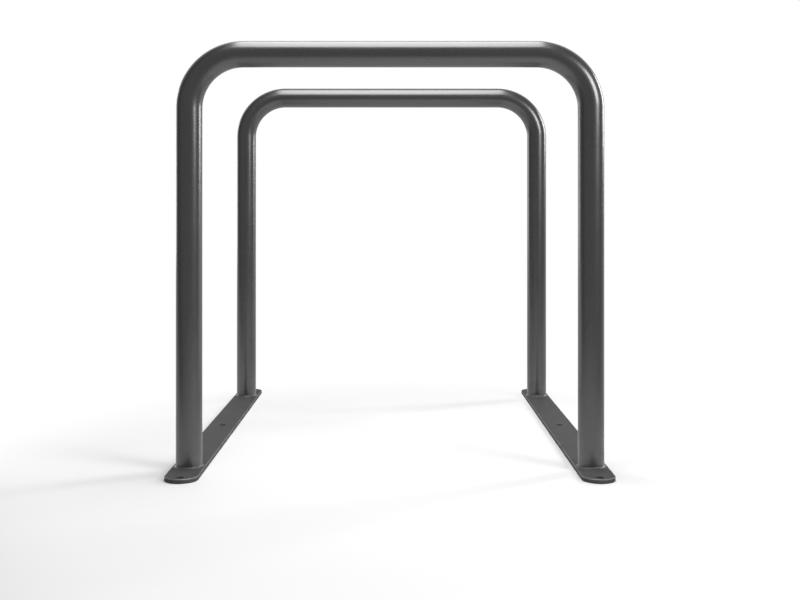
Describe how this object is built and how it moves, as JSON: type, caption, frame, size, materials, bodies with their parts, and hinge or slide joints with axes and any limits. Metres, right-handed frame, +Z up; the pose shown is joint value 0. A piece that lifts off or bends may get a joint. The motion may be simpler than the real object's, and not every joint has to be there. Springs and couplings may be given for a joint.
{
  "type": "bike rack",
  "caption": "Low floor-mounted bicycle rack: inverted-U hoops of bent round tube welded across flat floor rails with rounded ends and anchor holes, powder coated dark grey.",
  "frame": {"origin": "on the floor, at the middle of the footprint, midway between the rails and midway between the hoops", "axes": "+X across the hoops, to the right as seen from the front; +Y along the rails, from the front hoop to the rear hoop; +Z up"},
  "size_m": [0.8, 0.9498, 0.79],
  "materials": {
    "tube_coat": "satin anthracite powder coat on steel tube",
    "rail_coat": "satin anthracite powder coat on steel flat bar",
    "weld_coat": "satin anthracite powder coat over a weld bead"
  },
  "bodies": {
    "root": {"front_hoop": "tube_coat", "rear_hoop": "tube_coat", "left_rail": "rail_coat", "right_rail": "rail_coat", "front_left_weld": "weld_coat", "front_right_weld": "weld_coat", "rear_left_weld": "weld_coat", "rear_right_weld": "weld_coat"}
  },
  "joints": []
}
